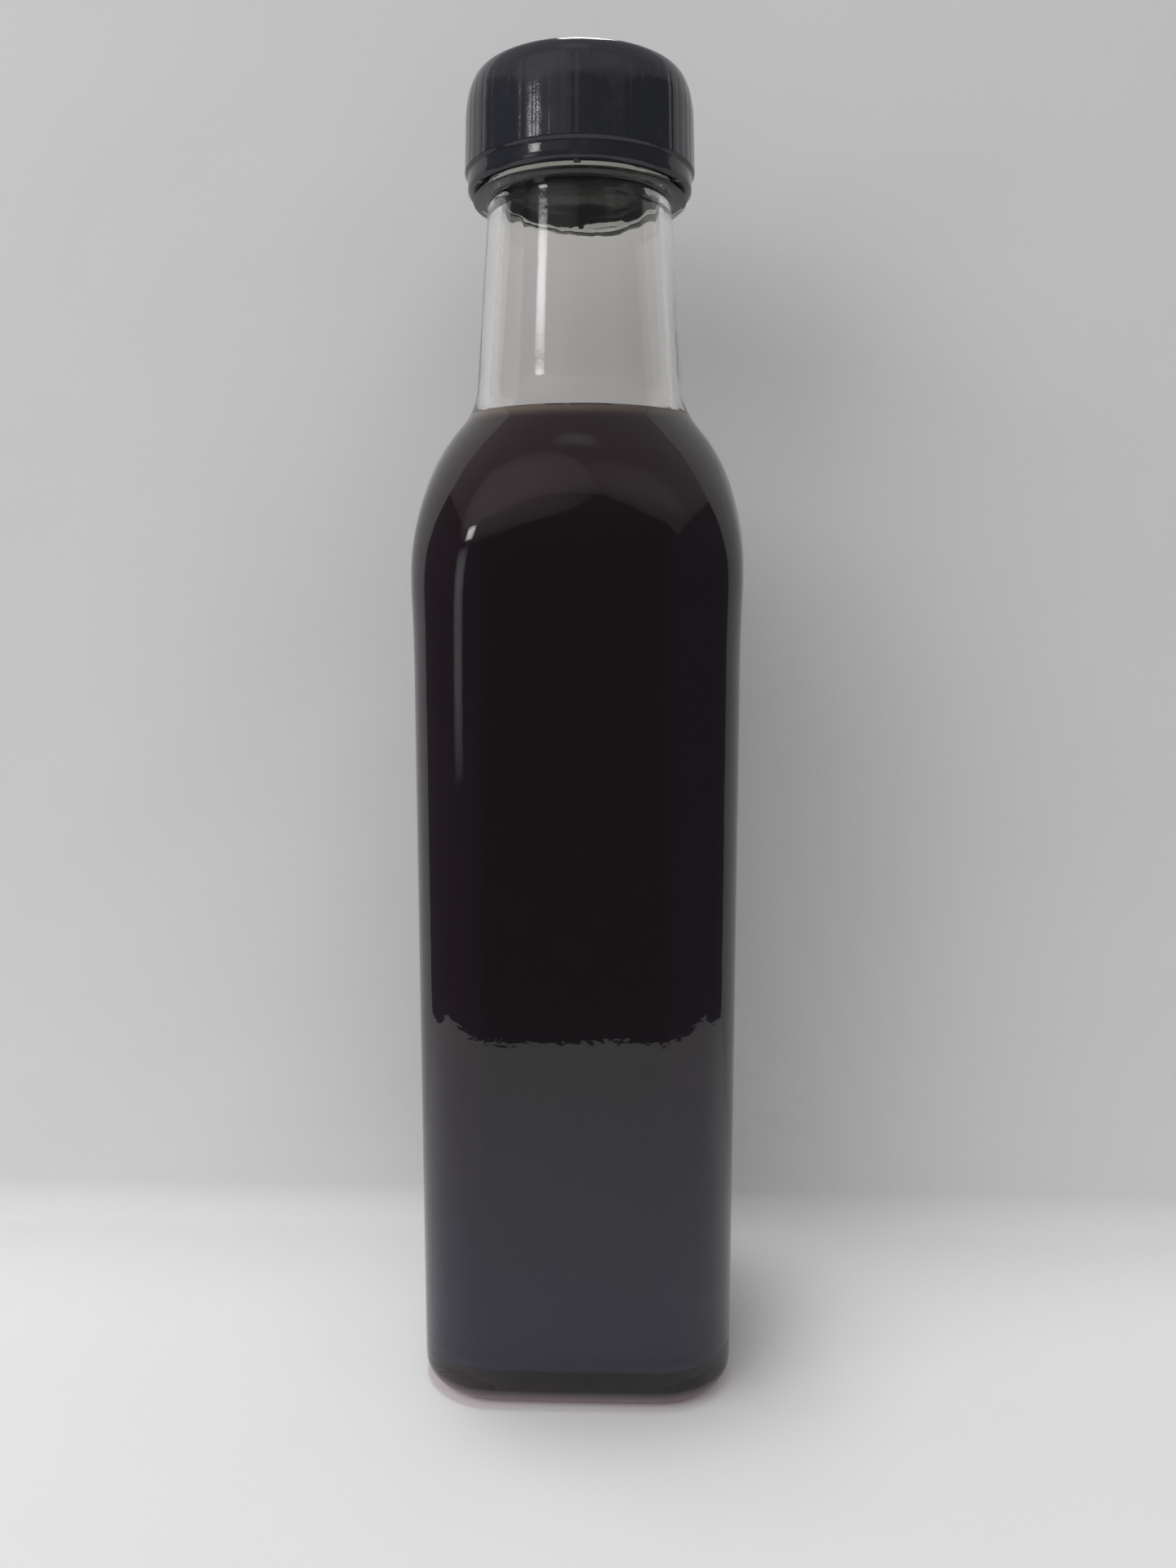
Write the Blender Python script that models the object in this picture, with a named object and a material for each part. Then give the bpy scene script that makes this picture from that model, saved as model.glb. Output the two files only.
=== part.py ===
"""Square glass bottle of pomegranate molasses with a ribbed screw cap.

Metres, +Z up. The origin is at the middle of the bottle's footprint, and the
bottle's front panel faces -Y. Three pieces: the glass, what fills it, the cap.
"""

import math

import bmesh
import bpy

# The body: a square tube with rounded corners on a rounded heel.
BODY_HALF_WIDTH = 0.0261
CORNER_RADIUS = 0.0120
HEEL_RADIUS = 0.004
SHOULDER_SWELL = 0.0012
SWELL_HEIGHT = 0.139
SWELL_SPREAD = 0.0104

# The shoulder: a turned dome that meets the four flat panels in arched ridges.
DOME_RADIUS = 0.0676
DOME_CENTRE_REACH = -0.0297
DOME_CENTRE_HEIGHT = 0.1117
DOME_START = 0.112
RIDGE_SHARPNESS = 9

# The neck: a slightly tapered tube that flares into the dome.
NECK_TOP_RADIUS = 0.0149
NECK_TOP_HEIGHT = 0.1915
NECK_TAPER = 0.071
NECK_FILLET = 0.0114

# The mouth: a ring bead below the cap and a plain rim inside it.
BEAD_RADIUS = 0.0172
BEAD_ROUNDING = 0.0019
BEAD_TOP = 0.1938
RIM_RADIUS = 0.0150
RIM_TOP = 0.2090
RIM_ROUNDING = 0.0010
BORE_RADIUS = 0.0126

# The inside of the glass.
WALL = 0.0028
NECK_WALL = 0.0023
FLOOR_HEIGHT = 0.0045
FLOOR_RISE = 0.0010
FLOOR_ROUNDING = 0.0045
PUNT_DEPTH = 0.0016
PUNT_HALF_WIDTH = 0.0175
FILL_HEIGHT = 0.1593
CLEARANCE = 0.0003

# The cap: a drum with upright ribs that stands proud of a smooth band and
# draws in over a rounded crown.
CAP_BAND_RADIUS = 0.0180
CAP_DRUM_RADIUS = 0.0185
CAP_DRAFT = 0.0002
CAP_BOTTOM = 0.1943
CAP_TOP = 0.2118
CAP_CHAMFER = 0.0005
CROWN_START = 0.2047
CROWN_DEPTH = 0.0024
BAND_TOP = 0.1971
RIB_BOTTOM = 0.1975
RIB_TOP = 0.2089
RIB_DEPTH = 0.0004
RIB_RUNOUT = 0.0003
RIB_COUNT = 56
CAP_BORE_RADIUS = 0.0165
CAP_CEILING = 0.2094

POINTS_PER_SIDE = 14
SIDES = 4


def clear_scene():
    """Empty the scene."""
    for item in list(bpy.data.objects):
        bpy.data.objects.remove(item, do_unlink=True)


def make_material(name, colour, roughness, transmission=0.0):
    """A plain Principled material."""
    material = bpy.data.materials.new(name)
    material.use_nodes = True
    shader = material.node_tree.nodes["Principled BSDF"]
    shader.inputs["Base Color"].default_value = (*colour, 1.0)
    shader.inputs["Roughness"].default_value = roughness
    shader.inputs["Metallic"].default_value = 0.0
    shader.inputs["Transmission Weight"].default_value = transmission
    material.diffuse_color = (*colour, 1.0)
    return material


def skin(name, rings, first_pole, last_pole, material):
    """A closed solid through equal rings of points, shut at both ends by a pole."""
    mesh_data = bmesh.new()
    loops = [[mesh_data.verts.new(point) for point in ring] for ring in rings]
    count = len(loops[0])
    start = mesh_data.verts.new(first_pole)
    end = mesh_data.verts.new(last_pole)
    for lower, upper in zip(loops, loops[1:]):
        for i in range(count):
            j = (i + 1) % count
            mesh_data.faces.new((lower[i], lower[j], upper[j], upper[i]))
    for i in range(count):
        j = (i + 1) % count
        mesh_data.faces.new((start, loops[0][j], loops[0][i]))
        mesh_data.faces.new((end, loops[-1][i], loops[-1][j]))
    bmesh.ops.triangulate(mesh_data, faces=mesh_data.faces[:])
    mesh = bpy.data.meshes.new(name)
    mesh_data.to_mesh(mesh)
    mesh_data.free()
    mesh.shade_smooth()
    mesh.set_sharp_from_angle(angle=math.radians(35))
    mesh.materials.append(material)
    solid = bpy.data.objects.new(name, mesh)
    bpy.context.scene.collection.objects.link(solid)
    return solid


def ring_at(height, angles, reach):
    """Points at one height, each reach(angle) away from the axis."""
    points = []
    for angle in angles:
        distance = reach(angle)
        points.append((distance * math.cos(angle), distance * math.sin(angle), height))
    return points


def round_ring(height, angles, radius):
    """A circle of points at one height."""
    return ring_at(height, angles, lambda angle: radius)


def body_angles():
    """Directions round the body, with more of them on the corners than on the flats."""
    corner_start = math.atan2(BODY_HALF_WIDTH - CORNER_RADIUS, BODY_HALF_WIDTH)
    half_side = POINTS_PER_SIDE // 2
    on_flat = half_side // 2
    on_corner = half_side - on_flat
    octant = [corner_start * i / on_flat for i in range(on_flat)]
    octant += [
        corner_start + (math.pi / 4 - corner_start) * i / on_corner for i in range(on_corner + 1)
    ]
    mirrored = [math.pi / 2 - angle for angle in octant[-2:0:-1]]
    quarter = octant + mirrored
    return [angle + side * math.pi / 2 for side in range(SIDES) for angle in quarter]


def square_reach(angle, half_width, corner_radius):
    """How far a rounded square reaches from its middle in one direction."""
    folded = angle % (math.pi / 2)
    folded = min(folded, math.pi / 2 - folded)
    flat = half_width - corner_radius
    if folded <= math.atan2(flat, half_width):
        return half_width / math.cos(folded)
    along = flat * (math.cos(folded) + math.sin(folded))
    return along + math.sqrt(along**2 - 2 * flat**2 + corner_radius**2)


def neck_reach(height):
    """Outer radius of the neck's straight taper."""
    return NECK_TOP_RADIUS + NECK_TAPER * (NECK_TOP_HEIGHT - height)


def neck_fillet_centre():
    """Where the arc that joins neck and dome has its centre, as (reach, height)."""
    slant = math.sqrt(1 + NECK_TAPER**2)
    span = DOME_RADIUS + NECK_FILLET
    height = NECK_TOP_HEIGHT
    for _ in range(40):
        reach = neck_reach(height) + NECK_FILLET * slant
        height = DOME_CENTRE_HEIGHT + math.sqrt(span**2 - (reach - DOME_CENTRE_REACH) ** 2)
    return reach, height


FILLET_REACH, FILLET_HEIGHT = neck_fillet_centre()
FILLET_BOTTOM = DOME_CENTRE_HEIGHT + (FILLET_HEIGHT - DOME_CENTRE_HEIGHT) * DOME_RADIUS / (
    DOME_RADIUS + NECK_FILLET
)
FILLET_TOP = FILLET_HEIGHT - NECK_FILLET * NECK_TAPER / math.sqrt(1 + NECK_TAPER**2)


def turned_reach(height):
    """Outer radius of the turned shape: dome, then fillet, then neck."""
    if height < FILLET_BOTTOM:
        rise = max(height, DOME_START) - DOME_CENTRE_HEIGHT
        return DOME_CENTRE_REACH + math.sqrt(DOME_RADIUS**2 - rise**2)
    if height < FILLET_TOP:
        return FILLET_REACH - math.sqrt(NECK_FILLET**2 - (height - FILLET_HEIGHT) ** 2)
    return neck_reach(height)


def softly_smaller(first, second):
    """The smaller of two reaches, rounded over where they cross."""
    ratio = (first / second) ** RIDGE_SHARPNESS
    return first / (1 + ratio) ** (1 / RIDGE_SHARPNESS)


def half_width_at(height):
    """Half the body's width, with its slight swell at the shoulder."""
    offset = (height - SWELL_HEIGHT) / SWELL_SPREAD
    return BODY_HALF_WIDTH + SHOULDER_SWELL * math.exp(-(offset**2))


def bottle_reach(angle, height, inset):
    """Reach of the bottle's wall at a depth of inset below its outer surface."""
    half_width = half_width_at(height) - inset
    square = square_reach(angle, half_width, CORNER_RADIUS - inset)
    return softly_smaller(square, turned_reach(height) - inset)


def bottle_ring(height, inset, angles):
    """One level of the bottle's wall."""
    return ring_at(height, angles, lambda angle: bottle_reach(angle, height, inset))


def steps(start, end, count):
    """Evenly spaced values from start to end, both included."""
    return [start + (end - start) * i / count for i in range(count + 1)]


def wall_heights(bottom):
    """Levels from the lower body to the top of the neck, closest on the shoulder."""
    levels = steps(bottom, SWELL_HEIGHT - 2 * SWELL_SPREAD, 2)
    levels += steps(SWELL_HEIGHT - SWELL_SPREAD, SWELL_HEIGHT + SWELL_SPREAD / 2, 4)
    levels += steps(SWELL_HEIGHT + SWELL_SPREAD, FILLET_BOTTOM, 4)
    levels += steps(FILLET_BOTTOM, FILLET_TOP, 4)[1:]
    return levels


def heel_rings(angles):
    """The rounded edge round the bottle's foot, from the floor upwards."""
    rings = []
    for turn in steps(0, math.pi / 2, 4)[:-1]:
        inset = HEEL_RADIUS * (1 - math.sin(turn))
        height = HEEL_RADIUS * (1 - math.cos(turn))
        rings.append(bottle_ring(height, inset, angles))
    return rings


def punt_rings(angles):
    """The shallow hollow under the bottle, from its middle to the standing ring."""
    rings = []
    for share in (0.35, 0.7, 1.0):
        height = PUNT_DEPTH * (1 - share**2)
        reach = share * PUNT_HALF_WIDTH
        corner = share * CORNER_RADIUS
        rings.append(ring_at(height, angles, lambda angle: square_reach(angle, reach, corner)))
    return rings


def bead_rings(angles):
    """The ring bead below the cap, from the neck upwards."""
    bottom = BEAD_TOP - BEAD_ROUNDING
    rings = [round_ring(bottom, angles, neck_reach(bottom))]
    depth = BEAD_RADIUS - neck_reach(bottom)
    for turn in steps(0, math.pi / 2, 3)[1:]:
        radius = BEAD_RADIUS - depth * (1 - math.sin(turn))
        height = BEAD_TOP - BEAD_ROUNDING * math.cos(turn)
        rings.append(round_ring(height, angles, radius))
    return rings


def rim_rings(angles):
    """The mouth: up the outside of the rim, over its rounded lip and into the bore."""
    rings = [round_ring(BEAD_TOP, angles, RIM_RADIUS)]
    for turn in steps(0, math.pi / 2, 2):
        radius = RIM_RADIUS - RIM_ROUNDING * (1 - math.cos(turn))
        rings.append(round_ring(RIM_TOP - RIM_ROUNDING * (1 - math.sin(turn)), angles, radius))
    rings.append(round_ring(RIM_TOP, angles, BORE_RADIUS))
    return rings


def inner_inset(height):
    """Thickness of the wall, a little less in the neck."""
    share = min(max((height - FILLET_BOTTOM) / (FILLET_TOP - FILLET_BOTTOM), 0), 1)
    return WALL + (NECK_WALL - WALL) * share


def floor_rings(angles, clearance):
    """The rounded edge round the inside floor, from the floor upwards."""
    rings = []
    floor = FLOOR_HEIGHT + clearance
    for turn in steps(0, math.pi / 2, 3)[:-1]:
        inset = WALL + clearance + FLOOR_ROUNDING * (1 - math.sin(turn))
        height = floor + FLOOR_ROUNDING * (1 - math.cos(turn))
        rings.append(bottle_ring(height, inset, angles))
    return rings


def make_glass(material):
    """The bottle: outside from the punt up to the lip, then down the inside."""
    angles = body_angles()
    outside = punt_rings(angles) + heel_rings(angles)
    outside += [bottle_ring(height, 0, angles) for height in wall_heights(HEEL_RADIUS)]
    outside += bead_rings(angles) + rim_rings(angles)
    inner_bottom = FLOOR_HEIGHT + FLOOR_ROUNDING
    inside = floor_rings(angles, 0)
    for height in wall_heights(inner_bottom):
        inside.append(bottle_ring(height, inner_inset(height), angles))
    inside.append(round_ring(BEAD_TOP - BEAD_ROUNDING, angles, BORE_RADIUS))
    inside.reverse()
    first_pole = (0, 0, PUNT_DEPTH)
    last_pole = (0, 0, FLOOR_HEIGHT + FLOOR_RISE)
    return skin("bottle_glass", outside + inside, first_pole, last_pole, material)


def make_molasses(material):
    """What fills the bottle, level with the foot of the neck."""
    angles = body_angles()
    rings = floor_rings(angles, CLEARANCE)
    bottom = FLOOR_HEIGHT + FLOOR_ROUNDING + CLEARANCE
    heights = [height for height in wall_heights(bottom) if height < FILL_HEIGHT - CLEARANCE]
    for height in heights + [FILL_HEIGHT]:
        rings.append(bottle_ring(height, inner_inset(height) + CLEARANCE, angles))
    first_pole = (0, 0, FLOOR_HEIGHT + FLOOR_RISE + CLEARANCE)
    return skin("molasses", rings, first_pole, (0, 0, FILL_HEIGHT), material)


def cap_radius_at(height):
    """Outer radius of the cap's side: band, slightly tapered drum, then the crown."""
    if height <= BAND_TOP:
        return CAP_BAND_RADIUS
    share = min((height - RIB_BOTTOM) / (CROWN_START - RIB_BOTTOM), 1)
    rise = max((height - CROWN_START) / (CAP_TOP - CROWN_START), 0)
    drawn_in = CROWN_DEPTH * (1 - math.sqrt(max(1 - rise**2, 0)))
    return CAP_DRUM_RADIUS - CAP_DRAFT * share - drawn_in


def ribbed_ring(height, angles, depth):
    """One level of the ribs: every second point lies in a groove."""
    crest = cap_radius_at(height)
    points = []
    for i, angle in enumerate(angles):
        radius = crest - depth * (i % 2)
        points.append((radius * math.cos(angle), radius * math.sin(angle), height))
    return points


def make_cap(material):
    """The cap: down the inside of the skirt, round its foot and up over the ribs."""
    count = 2 * RIB_COUNT
    angles = [2 * math.pi * i / count for i in range(count)]
    rings = [round_ring(height, angles, CAP_BORE_RADIUS) for height in (CAP_CEILING, CAP_BOTTOM)]
    foot = cap_radius_at(CAP_BOTTOM)
    rings.append(round_ring(CAP_BOTTOM, angles, foot - CAP_CHAMFER))
    rings.append(round_ring(CAP_BOTTOM + CAP_CHAMFER, angles, foot))
    rings.append(round_ring(BAND_TOP, angles, foot))
    rings.append(ribbed_ring(RIB_BOTTOM, angles, 0))
    for height in steps(RIB_BOTTOM + RIB_RUNOUT, RIB_TOP - RIB_RUNOUT, 3):
        rings.append(ribbed_ring(height, angles, RIB_DEPTH))
    rings.append(ribbed_ring(RIB_TOP, angles, 0))
    first_turn = math.asin((RIB_TOP - CROWN_START) / (CAP_TOP - CROWN_START))
    for turn in steps(first_turn, math.pi / 2, 5)[1:]:
        height = CROWN_START + (CAP_TOP - CROWN_START) * math.sin(turn)
        rings.append(round_ring(height, angles, cap_radius_at(height)))
    return skin("screw_cap", rings, (0, 0, CAP_CEILING), (0, 0, CAP_TOP), material)


clear_scene()
make_glass(make_material("clear_glass", (0.86, 0.87, 0.84), 0.03, 1.0))
make_molasses(make_material("dark_molasses", (0.012, 0.006, 0.006), 0.15))
make_cap(make_material("black_plastic", (0.012, 0.012, 0.014), 0.32))
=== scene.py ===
import math

import bmesh
import bpy
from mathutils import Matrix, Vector, noise


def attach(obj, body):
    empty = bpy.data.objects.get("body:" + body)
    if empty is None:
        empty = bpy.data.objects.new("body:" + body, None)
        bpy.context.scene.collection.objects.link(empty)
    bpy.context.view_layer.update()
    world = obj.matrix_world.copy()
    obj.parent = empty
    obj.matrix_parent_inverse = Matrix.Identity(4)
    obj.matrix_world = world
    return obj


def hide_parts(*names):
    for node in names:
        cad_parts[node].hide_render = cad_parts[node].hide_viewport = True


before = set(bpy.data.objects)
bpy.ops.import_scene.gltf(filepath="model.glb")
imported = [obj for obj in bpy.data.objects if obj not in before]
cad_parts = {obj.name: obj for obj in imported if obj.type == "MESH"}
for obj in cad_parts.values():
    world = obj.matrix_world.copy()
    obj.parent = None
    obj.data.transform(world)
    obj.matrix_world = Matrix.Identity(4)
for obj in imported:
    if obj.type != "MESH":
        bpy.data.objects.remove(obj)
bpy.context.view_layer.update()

# ---------------------------------------------------------------------------
# The bottle: clear flint glass, blown in a mould, with a stippled foot. Four
# flat panels with rounded corners run up into a turned dome, which meets them
# in arched ridges, and a tapered neck ends in a ring bead and a plain mouth.
# ---------------------------------------------------------------------------
BODY_HALF_WIDTH = 0.0261
CORNER_RADIUS = 0.0120
HEEL_RADIUS = 0.0040
SHOULDER_SWELL = 0.00119
SWELL_HEIGHT = 0.139
SWELL_SPREAD = 0.0104
DOME_RADIUS = 0.0676
DOME_CENTRE_REACH = -0.0297
DOME_CENTRE_HEIGHT = 0.1117
DOME_START = 0.112
RIDGE_SHARPNESS = 9
NECK_TOP_RADIUS = 0.0149
NECK_TOP_HEIGHT = 0.1915
NECK_TAPER = 0.071
NECK_FILLET = 0.0114
BEAD_RADIUS = 0.0172
BEAD_ROUNDING = 0.0009
BEAD_TOP = 0.1938
BEAD_FILLET = 0.0006
BEAD_FILLET_FLATNESS = 0.45
BEAD_WIDEST = 0.1934
BEAD_EDGE = 0.0004
BEAD_ROOT = 0.1956
RIM_RADIUS = 0.0150
RIM_TOP = 0.2090
RIM_ROUNDING = 0.0010
LIP_ROUNDING = 0.0006
BORE_RADIUS = 0.0126
WALL = 0.0028
NECK_WALL = 0.0023
WALL_UNEVENNESS = 0.00010
NECK_STREAKS = 0.00007
SEAM_HEIGHT = 0.1940
SEAM_WAVE = 0.0006
SEAM_WAVE_TURN = math.radians(150)
SEAM_RIPPLE = 0.0002
SEAM_RIPPLE_TURN = math.radians(40)
SEAM_THICKNESS = 0.00016
SEAM_SPREAD = 0.0009
SEAM_TOP = 0.1964
FLOOR_HEIGHT = 0.0045
FLOOR_RISE = 0.0010
FLOOR_ROUNDING = 0.0045
FLOOR_MIDDLE = 0.006
FLOOR_MIDDLE_RISE = 0.0008
PUNT_DEPTH = 0.0016
PUNT_HALF_WIDTH = 0.0175
FLINT_GLASS = (1.0, 0.984, 0.972, 1.0)
FLINT_GLASS_THICK = (0.66, 0.665, 0.61, 1.0)
THICK_START = 0.1922
THICK_END = 0.1932
GLASS_SHADOW = (0.97, 0.97, 0.96, 1.0)
FOOT_SHADOW = (0.40, 0.25, 0.31, 1.0)
FOOT_SHADOW_START = 0.012
FOOT_SHADOW_END = 0.006
FOOT_TOP = 0.0037
FOOT_MIDDLE = 0.0008
# Painted shade at the top of the foot and a painted rosy glow towards its standing edge.
FOOT_PAINTED_SHADE = (0.06, 0.055, 0.070, 1.0)
FOOT_PAINTED_GLOW = (0.44, 0.33, 0.37, 1.0)


def steps(start, end, count):
    """Evenly spaced values from start to end, both included."""
    return [start + (end - start) * i / count for i in range(count + 1)]


def body_angles(on_flat, on_corner):
    """Directions round the body, closest together on its rounded corners."""
    corner_start = math.atan2(BODY_HALF_WIDTH - CORNER_RADIUS, BODY_HALF_WIDTH)
    octant = steps(0, corner_start, on_flat)[:-1]
    octant += steps(corner_start, math.pi / 4, on_corner)
    mirrored = [math.pi / 2 - angle for angle in octant[-2:0:-1]]
    quarter = octant + mirrored
    return [angle + side * math.pi / 2 for side in range(4) for angle in quarter]


def square_reach(angle, half_width, corner_radius):
    """How far a rounded square reaches from its middle in one direction."""
    folded = angle % (math.pi / 2)
    folded = min(folded, math.pi / 2 - folded)
    flat = half_width - corner_radius
    if folded <= math.atan2(flat, half_width):
        return half_width / math.cos(folded)
    along = flat * (math.cos(folded) + math.sin(folded))
    return along + math.sqrt(along**2 - 2 * flat**2 + corner_radius**2)


def neck_reach(height):
    """Outer radius of the neck's straight taper."""
    return NECK_TOP_RADIUS + NECK_TAPER * (NECK_TOP_HEIGHT - height)


def neck_fillet_centre():
    """Where the arc that joins neck and dome has its centre, as (reach, height)."""
    slant = math.sqrt(1 + NECK_TAPER**2)
    span = DOME_RADIUS + NECK_FILLET
    height = NECK_TOP_HEIGHT
    for _ in range(40):
        reach = neck_reach(height) + NECK_FILLET * slant
        height = DOME_CENTRE_HEIGHT + math.sqrt(span**2 - (reach - DOME_CENTRE_REACH) ** 2)
    return reach, height


FILLET_REACH, FILLET_HEIGHT = neck_fillet_centre()
FILLET_BOTTOM = DOME_CENTRE_HEIGHT + (FILLET_HEIGHT - DOME_CENTRE_HEIGHT) * DOME_RADIUS / (
    DOME_RADIUS + NECK_FILLET
)
FILLET_TOP = FILLET_HEIGHT - NECK_FILLET * NECK_TAPER / math.sqrt(1 + NECK_TAPER**2)


def turned_reach(height):
    """Outer radius of the turned shape: dome, then fillet, then neck."""
    if height < FILLET_BOTTOM:
        rise = max(height, DOME_START) - DOME_CENTRE_HEIGHT
        return DOME_CENTRE_REACH + math.sqrt(DOME_RADIUS**2 - rise**2)
    if height < FILLET_TOP:
        return FILLET_REACH - math.sqrt(NECK_FILLET**2 - (height - FILLET_HEIGHT) ** 2)
    return neck_reach(height)


def bottle_reach(angle, height, inset):
    """Reach of the bottle's wall at a depth of inset below its outer surface."""
    offset = (height - SWELL_HEIGHT) / SWELL_SPREAD
    half_width = BODY_HALF_WIDTH + SHOULDER_SWELL * math.exp(-(offset**2)) - inset
    square = square_reach(angle, half_width, CORNER_RADIUS - inset)
    ratio = (square / (turned_reach(height) - inset)) ** RIDGE_SHARPNESS
    return square / (1 + ratio) ** (1 / RIDGE_SHARPNESS)


def wall_noise(angle, height, around, upward):
    """Noise on the wall, which changes faster as around and upward grow."""
    place = Vector((around * math.cos(angle), around * math.sin(angle), upward * height))
    return noise.noise(place)


def inner_inset(angle, height):
    """Thickness of the wall, thinner in the neck and a little uneven, as blown glass is."""
    share = min(max((height - FILLET_BOTTOM) / (FILLET_TOP - FILLET_BOTTOM), 0), 1)
    even = WALL + (NECK_WALL - WALL) * share
    uneven, streaks = wall_noise(angle, height, 2, 40), wall_noise(angle, height, 5, 12)
    return even + WALL_UNEVENNESS * uneven + NECK_STREAKS * streaks


def bore_reach(angle, height):
    """The bore through the mouth, with the wavy seam where the pressed mouth meets the neck."""
    wave = SEAM_WAVE * math.cos(2 * (angle - SEAM_WAVE_TURN))
    ripple = SEAM_RIPPLE * math.cos(5 * (angle - SEAM_RIPPLE_TURN))
    offset = (height - SEAM_HEIGHT - wave - ripple) / SEAM_SPREAD
    return BORE_RADIUS - SEAM_THICKNESS * math.exp(-(offset**2))


def ring_at(height, angles, reach):
    """Points at one height, each reach(angle) away from the axis."""
    return [
        (reach(angle) * math.cos(angle), reach(angle) * math.sin(angle), height)
        for angle in angles
    ]


def round_ring(height, angles, radius):
    """A circle of points at one height."""
    return ring_at(height, angles, lambda angle: radius)


def skin_rings(name, rings, first_pole, last_pole):
    """A closed mesh through equal rings of points, shut at both ends by a pole."""
    count = len(rings[0])
    points = [point for ring in rings for point in ring] + [first_pole, last_pole]
    start, end = len(points) - 2, len(points) - 1
    last = (len(rings) - 1) * count
    faces = []
    for i in range(count):
        j = (i + 1) % count
        faces.append((start, j, i))
        for lower in range(0, last, count):
            faces.append((lower + i, lower + j, lower + count + j, lower + count + i))
        faces.append((end, last + i, last + j))
    mesh = bpy.data.meshes.new(name)
    mesh.from_pydata(points, [], faces)
    mesh.shade_smooth()
    piece = bpy.data.objects.new(name, mesh)
    bpy.context.scene.collection.objects.link(piece)
    return piece


def wall_levels(bottom):
    """Heights from the lower body to the top of the neck, closest on the shoulder."""
    levels = steps(bottom, DOME_START, 40)[:-1]
    levels += steps(DOME_START, FILLET_BOTTOM, 70)[:-1]
    levels += steps(FILLET_BOTTOM, FILLET_TOP, 14)[:-1]
    return levels + steps(FILLET_TOP, BEAD_TOP - BEAD_ROUNDING, 18)


def punt_rings(angles):
    """The shallow hollow under the bottle, from its middle to the standing ring."""
    rings = []
    for share in steps(0.08, 1.0, 11):
        reach, corner = share * PUNT_HALF_WIDTH, share * CORNER_RADIUS
        height = PUNT_DEPTH * (1 - share**2)
        rings.append(ring_at(height, angles, lambda angle: square_reach(angle, reach, corner)))
    return rings


def rounded_foot(angles, height, radius, inset):
    """Rings up the rounded edge at the foot of the outside or of the inside."""
    rings = []
    for turn in steps(0, math.pi / 2, 9)[:-1]:
        depth = inset + radius * (1 - math.sin(turn))
        level = height + radius * (1 - math.cos(turn))
        rings.append(ring_at(level, angles, lambda angle: bottle_reach(angle, level, depth)))
    return rings


def bead_rings(angles):
    """The ring bead below the cap: out over a small fillet, then sloping back in and up."""
    bottom = BEAD_TOP - BEAD_ROUNDING
    start = neck_reach(bottom)
    flattened = BEAD_FILLET * BEAD_FILLET_FLATNESS
    rings = []
    for turn in steps(0, math.pi / 2, 7)[1:]:
        radius = start + BEAD_FILLET * (1 - math.cos(turn))
        rings.append(round_ring(bottom + flattened * math.sin(turn), angles, radius))
    middle, reach = bottom + flattened, start + BEAD_FILLET
    out, rise = BEAD_RADIUS - reach, BEAD_WIDEST - middle
    for turn in steps(0, math.pi / 2, 8)[1:]:
        radius = reach + out * math.sin(turn)
        rings.append(round_ring(middle + rise * (1 - math.cos(turn)), angles, radius))
    slope = math.atan2(BEAD_RADIUS - RIM_RADIUS, BEAD_ROOT - BEAD_WIDEST)
    for turn in steps(0, slope, 4)[1:]:
        radius = BEAD_RADIUS - BEAD_EDGE * (1 - math.cos(turn))
        rings.append(round_ring(BEAD_WIDEST + BEAD_EDGE * math.sin(turn), angles, radius))
    return rings


def mouth_rings(angles):
    """Up the outside of the mouth, over its rounded lip and into the bore."""
    rings = [round_ring(BEAD_ROOT, angles, RIM_RADIUS)]
    lip = RIM_TOP - RIM_ROUNDING
    for turn in steps(0, math.pi / 2, 5):
        radius = RIM_RADIUS - RIM_ROUNDING * (1 - math.cos(turn))
        rings.append(round_ring(lip + RIM_ROUNDING * math.sin(turn), angles, radius))
    for turn in steps(0, math.pi / 2, 4):
        radius = BORE_RADIUS + LIP_ROUNDING * (1 - math.sin(turn))
        rings.append(round_ring(RIM_TOP - LIP_ROUNDING * (1 - math.cos(turn)), angles, radius))
    return rings


def blow_bottle():
    """The glass: outside from the punt up to the lip, then down the inside to the floor."""
    angles = body_angles(8, 16)
    outside = punt_rings(angles) + rounded_foot(angles, 0, HEEL_RADIUS, 0)
    for level in wall_levels(HEEL_RADIUS):
        outside.append(ring_at(level, angles, lambda angle: bottle_reach(angle, level, 0)))
    outside += bead_rings(angles) + mouth_rings(angles)
    inside = [round_ring(FLOOR_HEIGHT + FLOOR_MIDDLE_RISE, angles, FLOOR_MIDDLE)]
    inside += rounded_foot(angles, FLOOR_HEIGHT, FLOOR_ROUNDING, WALL)
    for level in wall_levels(FLOOR_HEIGHT + FLOOR_ROUNDING):
        inside.append(
            ring_at(
                level,
                angles,
                lambda angle: bottle_reach(angle, level, inner_inset(angle, level)),
            )
        )
    for level in steps(BEAD_TOP - BEAD_ROUNDING, SEAM_TOP, 22)[1:]:
        inside.append(ring_at(level, angles, lambda angle: bore_reach(angle, level)))
    inside.reverse()
    first_pole, last_pole = (0, 0, PUNT_DEPTH), (0, 0, FLOOR_HEIGHT + FLOOR_RISE)
    return skin_rings("bottle_glass_dressed", outside + inside, first_pole, last_pole)


def put_node(tree, kind, settings=None, values=None):
    """A node in a tree, with its settings and its plain socket values."""
    placed = tree.nodes.new(kind)
    for key, value in (settings or {}).items():
        setattr(placed, key, value)
    for key, value in (values or {}).items():
        placed.inputs[key].default_value = value
    return placed


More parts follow.
